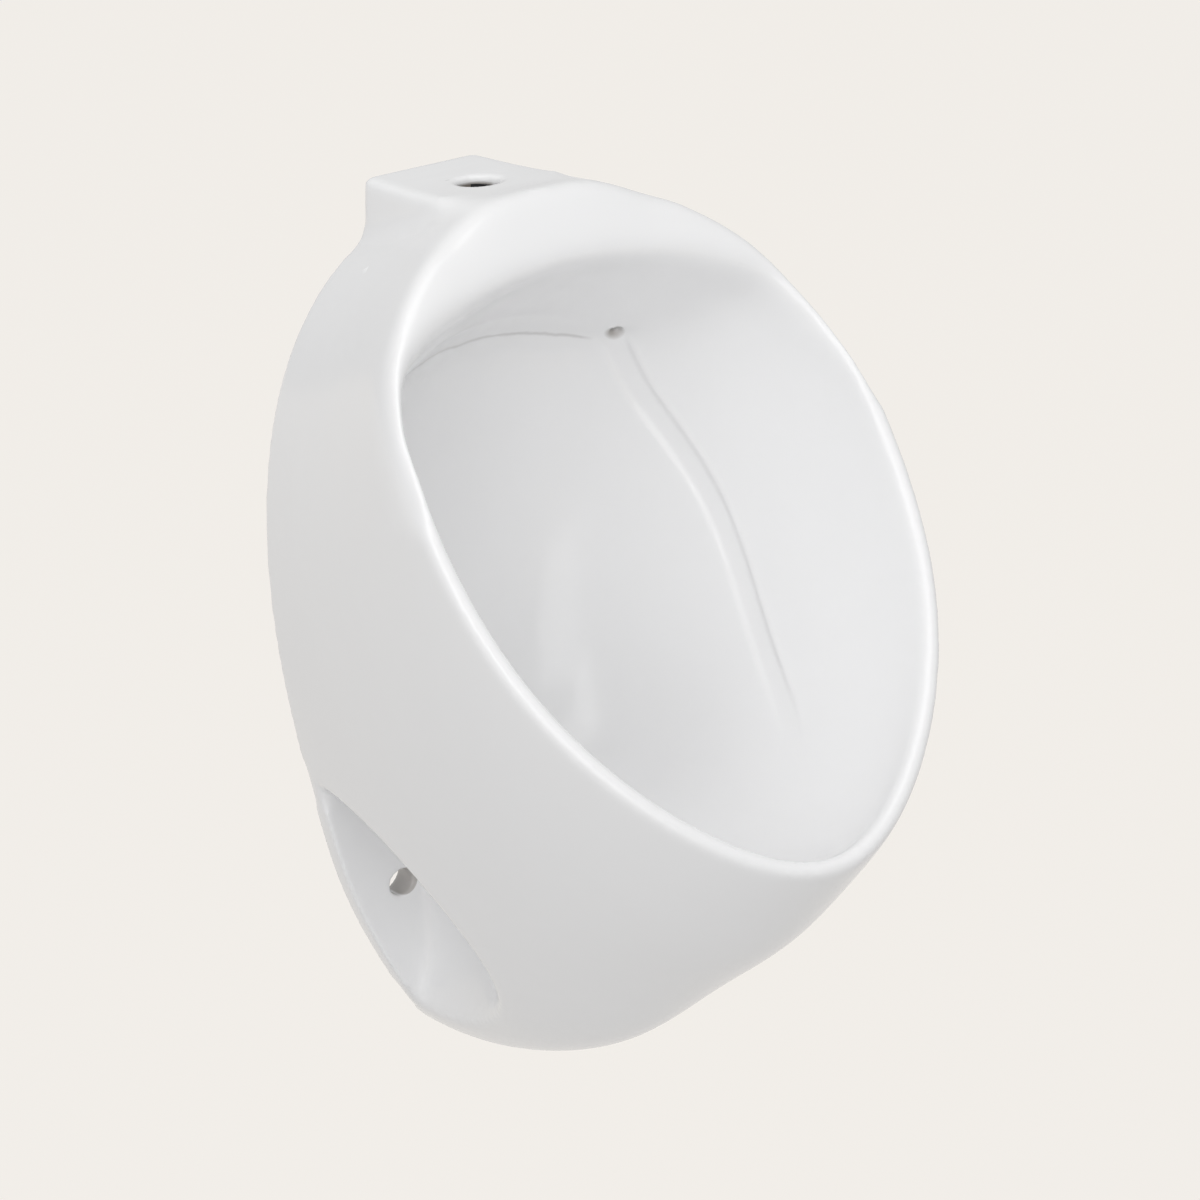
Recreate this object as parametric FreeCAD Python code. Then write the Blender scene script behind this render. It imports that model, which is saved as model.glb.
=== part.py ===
import FreeCAD, Part
import math
import os

V = FreeCAD.Vector

# Frame: millimetres, +Z up, wall plane at y = 0, front toward -Y.
# The origin is midway between the two lower wall-fixing holes, on the wall plane.

# Overall sizes of the casting
TOP_Z = 370.0               # flat top of the inlet block
WALL_EGG_TOP = 346.0        # top of the egg outline at the wall
WALL_EGG_H = 432.0          # height of the egg outline at the wall
WALL_EGG_W = 97.0           # greatest half width at the wall
SHELL_T = 10.0              # thickness of the outer shell
GAP = 0.3                   # clearance between curved faces of different pieces

# Rim: an egg drawn in a plane tilted back from the vertical
RIM_TILT = 37.85            # degrees from the vertical
RIM_TOP_Y = -89.7
RIM_TOP_Z = 375.3
RIM_L = 350.8               # length down the tilted plane
RIM_W = 136.0               # half width of its main oval
LIP_OUT = 2.0               # rim edge outside the crest line
LIP_IN = 7.0                # rim edge inside the crest line
LIP_R = 3.6                 # rounding of both rim edges

# Opening: its top is closed by a crescent, the front of the hollow flush rim
CRESCENT_DROP = 38.5        # depth of the crescent in the middle
CRESCENT_A = 140.0          # half axes of the oval that bounds it
CRESCENT_B = 84.0
ROOF_DIP = 43.0             # degrees that the bowl roof falls toward the back
ROOF_T = 8.0                # thickness of the bowl roof behind the crescent

# Bowl
OUTLET_Y = -114.0           # axis of the waste
FLOOR_Z = 64.0              # bowl floor round the waste
FLOOR_R = 34.0              # flat seat of the waste flange
BOWL_T = 10.0               # thickness of the bowl wall and floor

# Inlet block and hole
BLOCK_HALF_W = 33.0
BLOCK_FLARE = 4.5           # degrees that each side opens toward the front
BLOCK_D = 92.0
BLOCK_H = 60.0
BLOCK_RISE = 2.0            # rise of its top toward the rim
BLOCK_R = 4.5
NECK_R = 16.0               # hollow rounding beside the block
INLET_R = 10.0
INLET_Y = -43.0
INLET_SEAT = 11.0           # depth of the ledge that the rubber sleeve stands on
INLET_LEDGE = 2.0
INLET_THROAT = 30.0         # depth at which the inlet meets the flush chamber

# Jets that leave the flush chamber at the back corners of the bowl roof
JET_R = 3.0
JET_X = 70.0
JET_BACK = 76.0             # distance behind the rim plane
JET_IN = 2.5                # start of the drilling below the roof
WASTE_HOLE_R = 23.0

# Lower wall fixings and the scoops that make room for them
FIX_X = 26.0
FIX_R = 7.0
FLANGE_T = 14.5             # wall flange left behind each scoop
SCOOP_AT = V(80.0, -12.0, -26.0)
SCOOP_RX, SCOOP_RY, SCOOP_RZ = 70.0, 118.0, 90.0
SCOOP_TILT = 15.0           # degrees that the scoop rises toward the front
SCOOP_WALL = 5.0

# Hollows of the casting
WEB_LOW = 262.0             # solid web between flush chamber and waste space
WEB_HIGH = 285.0
BACK_T = 8.0                # wall behind the flush chamber
FRONT_T = 9.0               # wall in front of the flush chamber
BACK_OPEN_Z = 16.0          # lowest point of the open back
BACK_PLATE_T = 20.0

# Hangers
HANG_X = 50.0
SLOT_W, SLOT_D, SLOT_H = 28.0, 6.5, 15.0
SLOT_Y = -12.0              # middle of the slot
HANG_W = 24.0
HANG_T = 3.0
HANG_DOWN = 58.0            # length of the wall plate below the web
HANG_HOLE_R = 3.3
HANG_PITCH = 30.0
FINGER_H = 11.0
PAD_T = 1.5

# Rubber sleeve in the inlet
GROMMET_H = 8.0
GROMMET_BORE = 7.7

# Waste through the bowl floor
SEAL_T = 2.0
TAIL_R = 20.0               # waste tail
TAIL_T = 2.0
TAIL_H = 20.0
WASTE_FLANGE_R = 29.0
FLANGE_LIP = 2.0
WASTE_LIP = 4.0
STRAINER_R = 24.0
STRAINER_T = 1.6
STRAINER_SKIRT = 6.0
GRATE_R = 2.6

# Bottle trap below the bowl
COLLAR_R = 30.0
COLLAR_T = 5.0
TRAP_R = 26.0
TRAP_T = 2.5
CUP_SEAT = 4.0              # joint between trap body and cup
CUP_LAP = 9.0
CUP_LOW = -40.0
CUP_SLOPE = 14.0
CUP_FOOT_R = 15.0
DIP_R = 14.0
DIP_T = 1.5
DIP_LIP = 2.0
DIP_LOW = -18.0

# Outlet to the wall
PIPE_R = 15.4               # spigot behind the wall plane
RUN_R = 16.0                # run of the pipe up to the wall
PIPE_T = 1.8
PIPE_Z = 32.4
PIPE_OUT = 25.0             # reach behind the wall plane
SOCKET_L = 16.0
NUT_L = 10.0
NUT_T = 2.5
WALL_SEAL_T = 2.0
WALL_SEAL_L = 8.0

ST = math.sin(math.radians(RIM_TILT))
CT = math.cos(math.radians(RIM_TILT))
RIM_N = V(0, -CT, ST)       # out of the bowl, square to the rim plane
RIM_S = V(0, -ST, -CT)      # down the rim plane
RIM_TOP = V(0, RIM_TOP_Y, RIM_TOP_Z)
ROOF_N = V(0, -math.cos(math.radians(ROOF_DIP)), math.sin(math.radians(ROOF_DIP)))
BIG = 600.0                 # reach of the cutting blocks, beyond any size of the casting
RIM_CLEAR = 40.0            # reach of the cutting blocks in front of the rim


def egg_at_wall(t, inset=0.0):
    """Point of the egg outline on the wall plane; t runs from the top round one side."""
    w = WALL_EGG_W - inset
    x = w * (0.776 * math.sin(t) + 0.374 * math.sin(2 * t) + 0.0086 * math.sin(3 * t))
    h = WALL_EGG_H - 2 * inset
    drop = 0.5 * (1 - math.cos(t)) + 0.0783 * (1 - math.cos(2 * t)) - 0.02 * (math.cos(t) - math.cos(3 * t))
    return V(x, 0, WALL_EGG_TOP - inset - h * drop)


def crest(t):
    """Half width and drop of the rim crest in its own plane."""
    x = math.sin(t) + 0.0932 * math.sin(2 * t) - 0.0255 * math.sin(3 * t) + 0.0117 * math.sin(4 * t)
    s = 0.5 * (1 - math.cos(t)) + 0.0096 * (1 - math.cos(2 * t)) - 0.0064 * (math.cos(t) - math.cos(3 * t))
    return RIM_W * x, RIM_L * s


def rim_point(t, out=0.0):
    """Point of the rim crest, moved out square to the crest in the rim plane."""
    x, s = crest(t)
    x1, s1 = crest(t + 0.01)
    x0, s0 = crest(t - 0.01)
    ln = math.hypot(x1 - x0, s1 - s0)
    x += out * (s1 - s0) / ln
    s -= out * (x1 - x0) / ln
    return RIM_TOP + RIM_S * s + V(x, 0, 0)


def bezier(p, u):
    """Point of the cubic through four control points."""
    a = p[0] * (1 - u) ** 3 + p[1] * 3 * u * (1 - u) ** 2
    return a + p[2] * 3 * u * u * (1 - u) + p[3] * u ** 3


def outer_poles(t, inset=0.0):
    """Control points of the outer skin from the wall to the rim."""
    a = egg_at_wall(t, inset)
    b = rim_point(t, LIP_OUT - inset)
    d = b - a
    g = (0.5 * (1 - math.cos(t))) ** 2
    p1 = a + V(0.45 * d.x, (0.33 + 0.17 * g) * d.y, 0.33 * (1 - g) * d.z)
    p2 = a + V(0.86 * d.x, (0.67 + 0.17 * g) * d.y, (0.67 - 0.12 * g) * d.z)
    return a, p1, p2, b


def bowl_poles(t, grow=0.0):
    """Control points of the bowl from the rim down to the flat round the waste."""
    a = rim_point(t, grow - LIP_IN)
    o = outer_poles(t)
    g = 0.5 * (1 - math.cos(t))
    side = math.sin(t) ** 2
    way = (RIM_N * -(1 - g) + (o[2] - o[3]).normalize() * g).normalize()
    r = FLOOR_R + grow
    b = V(r * math.sin(t), OUTLET_Y + r * math.cos(t), FLOOR_Z - grow)
    far = (a - b).Length
    p1 = a + way * far * (0.36 - 0.16 * g) - V(9.0 * math.sin(t) * side, 0, 0)
    p2 = b + V(math.sin(t), math.cos(t), 0) * far * (0.24 - 0.11 * g + 0.05 * side)
    return a, p1, p2, b


def skin(poles, levels, n=28):
    """Smooth solid through rings taken at the given levels of a family of cubics."""
    rings = []
    for u in levels:
        curve = Part.BSplineCurve()
        around = [bezier(poles(2 * math.pi * i / n), u) for i in range(n)]
        curve.interpolate(Points=around, PeriodicFlag=True)
        rings.append(Part.Wire(curve.toShape()))
    return Part.makeLoft(rings, True, False)


def box(x0, x1, y0, y1, z0, z1):
    return Part.makeBox(x1 - x0, y1 - y0, z1 - z0, V(x0, y0, z0))


def turn(profile, at=V(0, 0, 0), axis=V(0, 0, 1)):
    """Solid turned from a closed (radius, height) profile, its heights along the axis."""
    face = Part.Face(Part.makePolygon([V(r, 0, z) for r, z in profile + profile[:1]]))
    solid = face.revolve(V(0, 0, 0), V(0, 0, 1), 360)
    solid.Placement = FreeCAD.Placement(at, FreeCAD.Rotation(V(0, 0, 1), axis))
    return solid


def ring(r_in, r_out, z0, z1, at=V(0, 0, 0), axis=V(0, 0, 1)):
    return turn([(r_in, z0), (r_out, z0), (r_out, z1), (r_in, z1)], at, axis)


def in_rim_plane(edge):
    return max(abs((q - RIM_TOP).dot(RIM_N)) for q in edge.discretize(9)) < 0.05


def opening(grow=0.0):
    """Block along the bowl roof that leaves the crescent above the opening."""
    s0 = CRESCENT_DROP + CRESCENT_B
    a, b = CRESCENT_A + grow, CRESCENT_B + grow

    def at(x, s):
        return RIM_TOP + RIM_S * s + V(x, 0, 0)

    oval = Part.Face(Part.Wire(Part.Ellipse(at(a, s0), at(0, s0 - b), at(0, s0)).toShape()))
    corners = [at(-a, s0), at(-a, 2 * RIM_L), at(a, 2 * RIM_L), at(a, s0)]
    lower = Part.Face(Part.makePolygon(corners + corners[:1]))
    block = oval.extrude(ROOF_N * BIG).fuse(lower.extrude(ROOF_N * BIG))
    block.translate(ROOF_N * -(BIG - RIM_CLEAR))
    return block


def cavity(grow=0.0):
    """The bowl, or the bowl with its wall when grown."""
    levels = (0, 0.15, 0.3, 0.5, 0.7, 0.85, 1.0)
    roof = ROOF_T if grow else 0.0
    return skin(lambda t: bowl_poles(t, grow), levels).common(opening(roof))


def scoop(side, grow=0.0):
    """Round recess at a lower side, ending at the wall flange."""
    ball = Part.makeSphere(1.0)
    m = FreeCAD.Matrix()
    m.scale(SCOOP_RX + grow, SCOOP_RY + grow, SCOOP_RZ + grow)
    egg = ball.transformGeometry(m)
    egg.rotate(V(0, 0, 0), V(1, 0, 0), -SCOOP_TILT)
    egg.translate(V(side * SCOOP_AT.x, SCOOP_AT.y, SCOOP_AT.z))
    if grow:
        return egg
    return egg.common(box(-BIG, BIG, -BIG, -FLANGE_T, -BIG, BIG))


def make_block():
    """Inlet block on top, a little wider and higher toward the front."""
    w1 = BLOCK_HALF_W + BLOCK_D * math.tan(math.radians(BLOCK_FLARE))
    plan = [V(-BLOCK_HALF_W, 0, 0), V(BLOCK_HALF_W, 0, 0), V(w1, -BLOCK_D, 0), V(-w1, -BLOCK_D, 0)]
    block = Part.Face(Part.makePolygon(plan + plan[:1])).extrude(V(0, 0, BLOCK_H + BLOCK_RISE))
    block.translate(V(0, 0, TOP_Z - BLOCK_H))
    above = box(-BIG, BIG, -BIG, BIG, 0, BIG)
    above.rotate(V(0, 0, 0), V(1, 0, 0), -math.degrees(math.atan2(BLOCK_RISE, BLOCK_D)))
    above.translate(V(0, 0, TOP_Z))
    block = block.cut(above)
    tops = [e for e in block.Edges if e.BoundBox.ZMin > TOP_Z - 0.01 and e.BoundBox.YLength > 1]
    return block.makeFillet(BLOCK_R, tops)


def neck_edges(shape):
    """Edges where the sides of the inlet block meet the shoulders of the casting."""
    out = []
    for e in shape.Edges:
        q = e.valueAt(0.5 * (e.FirstParameter + e.LastParameter))
        w = BLOCK_HALF_W - q.y * math.tan(math.radians(BLOCK_FLARE))
        if abs(abs(q.x) - w) < 0.05 and q.z < TOP_Z - BLOCK_R and q.y < -0.5:
            out.append(e)
    return out


def opening_edges(shape):
    """Edges of the opening in the rim plane, without the outer edge of the rim."""
    out = []
    for e in shape.Edges:
        q = e.valueAt(0.5 * (e.FirstParameter + e.LastParameter)) - RIM_TOP
        low = max(crest(math.pi * i / 90)[1] for i in range(91)) - 0.5 * (LIP_IN - LIP_OUT)
        if in_rim_plane(e) and 0.5 * CRESCENT_DROP < q.dot(RIM_S) < low:
            out.append(e)
    return out


def inlet_hole():
    """Stepped bore from the top of the block into the flush chamber."""
    r = INLET_R - INLET_LEDGE
    return turn([(0, BLOCK_RISE), (INLET_R, BLOCK_RISE), (INLET_R, -INLET_SEAT), (r, -INLET_SEAT), (r, -INLET_THROAT),
                 (0, -INLET_THROAT)], V(0, INLET_Y, TOP_Z))


def jet(side):
    """Hole from the flush chamber through the bowl roof, where the roof meets the back."""
    s = CRESCENT_DROP + CRESCENT_B * (1 - math.sqrt(1 - (JET_X / CRESCENT_A) ** 2))
    start = RIM_TOP + RIM_S * (s + JET_IN) + V(side * JET_X, 0, 0) - ROOF_N * JET_BACK
    return Part.makeCylinder(JET_R, JET_IN + 2 * ROOF_T, start, RIM_S * -1)


def hollow(walls):
    """Everything that is empty between the outer shell and the bowl."""
    inside = skin(lambda t: outer_poles(t, SHELL_T), (0, 0.2, 0.4, 0.6, 0.8, 1.0))
    behind = box(-BIG, BIG, 0, BIG, -BIG, BIG)
    behind.rotate(V(0, 0, 0), V(1, 0, 0), -RIM_TILT)
    behind.translate(RIM_TOP - RIM_N * FRONT_T)
    inside = inside.common(behind).cut(walls)
    chamber = inside.common(box(-BIG, BIG, -BIG, -BACK_T, WEB_HIGH, BIG))
    space = inside.common(box(-BIG, BIG, -BIG, 1, -BIG, WEB_LOW))
    space = space.cut(box(-BIG, BIG, -BACK_PLATE_T, 1, -BIG, BACK_OPEN_Z))
    for side in (-1, 1):
        space = space.cut(scoop(side, SCOOP_WALL))
    return chamber, space


def make_body():
    """The whole casting, with its bowl, flush chamber, waste space and fixings."""
    body = skin(outer_poles, (0, 0.2, 0.4, 0.6, 0.8, 1.0))
    body = body.makeFillet(LIP_R, [e for e in body.Edges if in_rim_plane(e)])
    body = body.fuse(make_block())
    body = body.makeFillet(NECK_R, neck_edges(body))
    body = body.cut(cavity())
    body = body.makeFillet(LIP_R, opening_edges(body))
    for side in (-1, 1):
        body = body.cut(scoop(side))
    for empty in hollow(cavity(BOWL_T)):
        for solid in empty.Solids:
            if solid.Volume > 1000:
                body = body.cut(solid)
    body = body.cut(inlet_hole())
    body = body.cut(Part.makeCylinder(WASTE_HOLE_R, 2 * BOWL_T, V(0, OUTLET_Y, FLOOR_Z - 1.5 * BOWL_T)))
    passage = Part.makeCylinder(RUN_R + WALL_SEAL_T + GAP, BACK_PLATE_T + 1, V(0, 1, PIPE_Z), V(0, -1, 0))
    body = body.cut(passage)
    for side in (-1, 1):
        body = body.cut(jet(side))
        body = body.cut(Part.makeCylinder(FIX_R, 3 * FLANGE_T, V(side * FIX_X, FLANGE_T, 0), V(0, -1, 0)))
        x = side * HANG_X
        y = SLOT_Y
        body = body.cut(box(x - SLOT_W / 2, x + SLOT_W / 2, y - SLOT_D / 2, y + SLOT_D / 2, WEB_LOW - 1,
                            WEB_LOW + SLOT_H))
    return body


def make_grommet():
    """Rubber sleeve that stands on the ledge of the inlet hole."""
    low = TOP_Z - INLET_SEAT
    return ring(GROMMET_BORE, INLET_R - GAP, low, low + GROMMET_H, V(0, INLET_Y, 0))


def make_waste_body():
    """Flanged waste tail that screws down into the trap."""
    z = FLOOR_Z + SEAL_T
    profile = [(TAIL_R - TAIL_T, z - TAIL_H), (TAIL_R, z - TAIL_H), (TAIL_R, z), (WASTE_FLANGE_R, z),
               (WASTE_FLANGE_R, z + FLANGE_LIP), (STRAINER_R + GAP, z + WASTE_LIP),
               (STRAINER_R + GAP, z + FLANGE_LIP), (TAIL_R - TAIL_T, z + FLANGE_LIP)]
    return turn(profile, V(0, OUTLET_Y, 0))


def make_strainer():
    """Domed grating that rests in the waste flange."""
    z = FLOOR_Z + SEAL_T + FLANGE_LIP
    r = STRAINER_R
    dome = turn([(0, z + STRAINER_T), (r, z), (r, z + STRAINER_T), (0.55 * r, z + 2.6 * STRAINER_T),
                 (0, z + 3 * STRAINER_T)], V(0, OUTLET_Y, 0))
    skirt = ring(TAIL_R - TAIL_T - GAP - STRAINER_T, TAIL_R - TAIL_T - GAP, z - STRAINER_SKIRT, z + STRAINER_T,
                 V(0, OUTLET_Y, 0))
    dome = dome.fuse(skirt)
    slots = []
    for count, row in ((6, 0.28 * r), (10, 0.56 * r)):
        for i in range(count):
            a = 2 * math.pi * i / count
            spot = V(row * math.cos(a), OUTLET_Y + row * math.sin(a), z - r)
            slots.append(Part.makeCylinder(GRATE_R, 3 * r, spot))
    return dome.cut(Part.makeCompound(slots))


def make_trap_body():
    """Top of the bottle trap: collar under the bowl, round chamber and side outlet."""
    top = FLOOR_Z - BOWL_T - SEAL_T
    low = top - COLLAR_T
    chamber = turn([(TAIL_R + GAP, top), (COLLAR_R, top), (COLLAR_R, low), (TRAP_R, low - 2), (TRAP_R, CUP_SEAT),
                    (TRAP_R - TRAP_T, CUP_SEAT), (TRAP_R - TRAP_T, low - 2), (TAIL_R + GAP, low)],
                   V(0, OUTLET_Y, 0))
    y0 = OUTLET_Y + TRAP_R - 2 * TRAP_T
    y1 = OUTLET_Y + TRAP_R + SOCKET_L
    outer = Part.makeCylinder(RUN_R + GAP + TRAP_T, y1 - y0, V(0, y0, PIPE_Z), V(0, 1, 0))
    bore = Part.makeCylinder(RUN_R + GAP, BIG, V(0, y0 + TRAP_T, PIPE_Z), V(0, 1, 0))
    mouth = Part.makeCylinder(PIPE_R - PIPE_T, BIG, V(0, OUTLET_Y, PIPE_Z), V(0, 1, 0))
    core = Part.makeCylinder(TRAP_R - TRAP_T, low - CUP_SEAT, V(0, OUTLET_Y, CUP_SEAT - 2))
    return chamber.fuse(outer.cut(core)).cut(bore).cut(mouth)


def make_dip_tube():
    """Tube that carries the water below the outlet, hung inside the waste tail."""
    z = FLOOR_Z + SEAL_T - TAIL_H
    r = TAIL_R
    return turn([(r - TAIL_T - DIP_T, z), (r, z), (r, z - DIP_LIP), (DIP_R, z - DIP_LIP), (DIP_R, DIP_LOW),
                 (DIP_R - DIP_T, DIP_LOW), (DIP_R - DIP_T, z - DIP_LIP)], V(0, OUTLET_Y, 0))


def make_cup():
    """Cup that screws up over the trap body and closes it below."""
    r = TRAP_R + GAP + TRAP_T
    floor = CUP_LOW + TRAP_T
    inside = TRAP_R - TRAP_T
    return turn([(0, CUP_LOW), (CUP_FOOT_R, CUP_LOW), (TRAP_R, CUP_LOW + CUP_SLOPE), (TRAP_R, CUP_SEAT - 4 * SEAL_T),
                 (r, CUP_SEAT - 3 * SEAL_T), (r, CUP_SEAT + CUP_LAP), (TRAP_R + GAP, CUP_SEAT + CUP_LAP),
                 (TRAP_R + GAP, CUP_SEAT - SEAL_T), (inside, CUP_SEAT - SEAL_T),
                 (inside, CUP_LOW + CUP_SLOPE + TRAP_T), (CUP_FOOT_R - TRAP_T, floor), (0, floor)],
                V(0, OUTLET_Y, 0))


def make_pipe():
    y0 = OUTLET_Y + TRAP_R - TRAP_T
    r = PIPE_R - PIPE_T
    return turn([(r, y0), (RUN_R, y0), (RUN_R, 0), (PIPE_R, 0), (PIPE_R, PIPE_OUT), (r, PIPE_OUT)],
                V(0, 0, PIPE_Z), V(0, 1, 0))


def make_hanger(side):
    """Steel bracket: plate on the wall, shelf under the web, finger up into the slot."""
    x0, x1 = side * HANG_X - HANG_W / 2, side * HANG_X + HANG_W / 2
    shelf = WEB_LOW - PAD_T
    y = SLOT_Y - HANG_T / 2
    part = box(x0, x1, -HANG_T, 0, WEB_LOW - HANG_DOWN, shelf)
    part = part.fuse(box(x0, x1, y, 0, shelf - HANG_T, shelf))
    part = part.fuse(box(x0, x1, y, y + HANG_T, shelf - HANG_T, WEB_LOW + FINGER_H))
    for k in (0, 1):
        z = WEB_LOW - HANG_DOWN + 2 * HANG_W / 4 + k * HANG_PITCH
        part = part.cut(Part.makeCylinder(HANG_HOLE_R, 3 * HANG_T, V(side * HANG_X, HANG_T, z), V(0, -1, 0)))
    return part.removeSplitter()


def make_pads():
    """Soft strip on the shelf of each bracket, behind the finger."""
    pads = []
    for side in (-1, 1):
        x = side * HANG_X
        y = SLOT_Y + HANG_T / 2
        pads.append(box(x - HANG_W / 2, x + HANG_W / 2, y, 0, WEB_LOW - PAD_T, WEB_LOW))
    return Part.makeCompound(pads)


def build():
    """Named pieces of the whole product."""
    waste = V(0, OUTLET_Y, 0)
    along = V(0, 1, 0)
    pipe = V(0, 0, PIPE_Z)
    nut_y = OUTLET_Y + TRAP_R + SOCKET_L
    nut_r = RUN_R + GAP + TRAP_T
    return {
        "ceramic_body": make_body(),
        "inlet_grommet": make_grommet(),
        "waste_strainer": make_strainer(),
        "waste_body": make_waste_body(),
        "waste_top_seal": ring(TAIL_R + GAP, WASTE_FLANGE_R - 1, FLOOR_Z, FLOOR_Z + SEAL_T, waste),
        "waste_bottom_seal": ring(TAIL_R + GAP, COLLAR_R, FLOOR_Z - BOWL_T - SEAL_T, FLOOR_Z - BOWL_T, waste),
        "trap_body": make_trap_body(),
        "trap_dip_tube": make_dip_tube(),
        "trap_cup": make_cup(),
        "trap_cup_seal": ring(TRAP_R - TRAP_T, TRAP_R, CUP_SEAT - SEAL_T, CUP_SEAT, waste),
        "trap_outlet_nut": turn([(nut_r + GAP, nut_y - NUT_L), (nut_r + NUT_T, nut_y - NUT_L),
                                 (nut_r + NUT_T, nut_y + SEAL_T + NUT_T), (RUN_R + GAP, nut_y + SEAL_T + NUT_T),
                                 (RUN_R + GAP, nut_y + SEAL_T), (nut_r + GAP, nut_y + SEAL_T)], pipe, along),
        "trap_outlet_seal": ring(RUN_R + GAP, nut_r, nut_y, nut_y + SEAL_T, pipe, along),
        "outlet_pipe": make_pipe(),
        "outlet_wall_seal": ring(RUN_R + GAP, RUN_R + WALL_SEAL_T, -WALL_SEAL_L, 0, pipe, along),
        "hanger_left": make_hanger(-1),
        "hanger_right": make_hanger(1),
        "hanger_pads": make_pads(),
    }


os.makedirs("parts", exist_ok=True)
for name, shape in build().items():
    shape.exportStep("parts/" + name + ".step")
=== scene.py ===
"""Wall hung urinal in white glazed china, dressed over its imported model."""

import logging
import math
from dataclasses import dataclass
from enum import Enum
from typing import Any, Optional, Sequence

import bmesh
import bpy
import numpy as np
from mathutils import Matrix, Vector


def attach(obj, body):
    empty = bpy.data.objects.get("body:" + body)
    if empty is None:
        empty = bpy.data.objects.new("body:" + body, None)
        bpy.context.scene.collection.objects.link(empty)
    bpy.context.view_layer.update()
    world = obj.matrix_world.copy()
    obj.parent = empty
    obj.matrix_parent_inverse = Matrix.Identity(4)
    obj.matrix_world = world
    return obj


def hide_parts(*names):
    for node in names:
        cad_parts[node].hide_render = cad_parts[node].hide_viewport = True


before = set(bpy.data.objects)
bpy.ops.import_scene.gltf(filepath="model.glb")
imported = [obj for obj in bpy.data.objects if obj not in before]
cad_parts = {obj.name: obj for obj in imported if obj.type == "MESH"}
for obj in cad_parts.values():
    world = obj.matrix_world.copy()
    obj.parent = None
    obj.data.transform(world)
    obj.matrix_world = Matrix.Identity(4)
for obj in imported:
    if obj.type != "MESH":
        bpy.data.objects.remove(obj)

log = logging.getLogger("urinal")
Array = np.ndarray
Point = tuple[float, float, float]
Colour = tuple[float, float, float, float]


# ---------------------------------------------------------------- mesh helpers


def flat_object(name: str, points: Sequence[Point], faces: Sequence[Sequence[int]]) -> bpy.types.Object:
    """Make a flat-shaded mesh object at the origin.

    Args:
        name: Name of the object and its mesh.
        points: Corner positions in metres.
        faces: Corner numbers of each face, counter-clockwise from outside.

    Returns:
        The new object, linked to the scene.
    """
    mesh = bpy.data.meshes.new(name)
    mesh.from_pydata(points, [], faces)
    mesh.update()
    mesh.shade_flat()
    obj = bpy.data.objects.new(name, mesh)
    bpy.context.collection.objects.link(obj)
    return obj


def weld(obj: bpy.types.Object, distance: float) -> None:
    """Join the corners of a mesh that lie within a distance of each other."""
    bm = bmesh.new()
    bm.from_mesh(obj.data)
    bmesh.ops.remove_doubles(bm, verts=bm.verts, dist=distance)
    bm.to_mesh(obj.data)
    bm.free()


def thin_out(obj: bpy.types.Object, triangles: int) -> None:
    """Merge the flattest faces of a mesh until it holds a number of triangles."""
    obj.data.calc_loop_triangles()
    step = obj.modifiers.new("thin", "DECIMATE")
    step.ratio = min(1.0, triangles / len(obj.data.loop_triangles))
    apply_modifiers(obj)


def unfold(obj: bpy.types.Object, sharpest: float = math.radians(80), rounds: int = 12) -> None:
    """Smooth the few corners where neighbouring faces turn back on each other.

    Args:
        obj: Mesh object to mend.
        sharpest: Largest turn between two faces that is left as it is.
        rounds: Number of smoothing rounds.
    """
    bm = bmesh.new()
    bm.from_mesh(obj.data)
    turned = {
        corner
        for edge in bm.edges
        if edge.calc_face_angle(0.0) > sharpest
        for face in edge.link_faces
        for corner in face.verts
    }
    axes = {"use_axis_x": True, "use_axis_y": True, "use_axis_z": True}
    for _ in range(rounds):
        bmesh.ops.smooth_vert(bm, verts=list(turned), factor=0.5, **axes)
    log.info("%d corners unfolded", len(turned))
    bm.to_mesh(obj.data)
    bm.free()


def apply_modifiers(obj: bpy.types.Object) -> None:
    """Put the result of all modifiers of an object into its mesh."""
    graph = bpy.context.evaluated_depsgraph_get()
    mesh = bpy.data.meshes.new_from_object(obj.evaluated_get(graph))
    obj.modifiers.clear()
    old = obj.data
    obj.data = mesh
    bpy.data.meshes.remove(old)


def mesh_points(mesh: bpy.types.Mesh) -> Array:
    """All corner positions of a mesh."""
    flat = np.empty(len(mesh.vertices) * 3, dtype=np.float32)
    mesh.vertices.foreach_get("co", flat)
    return flat.reshape(-1, 3).astype(np.float64)


def set_points(mesh: bpy.types.Mesh, points: Array) -> None:
    """Put new corner positions into a mesh."""
    mesh.vertices.foreach_set("co", points.astype(np.float32).ravel())
    mesh.update()


def mesh_normals(mesh: bpy.types.Mesh) -> Array:
    """Outward direction at each corner of a mesh."""
    flat = np.empty(len(mesh.vertices) * 3, dtype=np.float32)
    mesh.vertex_normals.foreach_get("vector", flat)
    return flat.reshape(-1, 3).astype(np.float64)


def mesh_edges(mesh: bpy.types.Mesh) -> Array:
    """Pairs of corner numbers, one row for each edge."""
    flat = np.empty(len(mesh.edges) * 2, dtype=np.int32)
    mesh.edges.foreach_get("vertices", flat)
    return flat.reshape(-1, 2)


def smoothed(points: Array, edges: Array, weight: Array, rounds: int) -> Array:
    """Points drawn toward the mean of their neighbours, over and over.

    Each round moves a point by its weight times the way to the mean of the
    points it shares an edge with.

    Args:
        points: Positions, one row each.
        edges: Pairs of point numbers.
        weight: Share of the way that each point moves in a round.
        rounds: Number of rounds.

    Returns:
        The moved positions.
    """
    both = np.concatenate([edges, edges[:, ::-1]])
    both = both[weight[both[:, 0]] > 0]
    moving, here = np.unique(both[:, 0], return_inverse=True)
    degree = np.bincount(here)[:, None]
    share = weight[moving][:, None]
    points = points.copy()
    for _ in range(rounds):
        total = np.stack([np.bincount(here, points[both[:, 1], k]) for k in range(3)], -1)
        points[moving] += share * (total / degree - points[moving])
    return points


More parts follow.
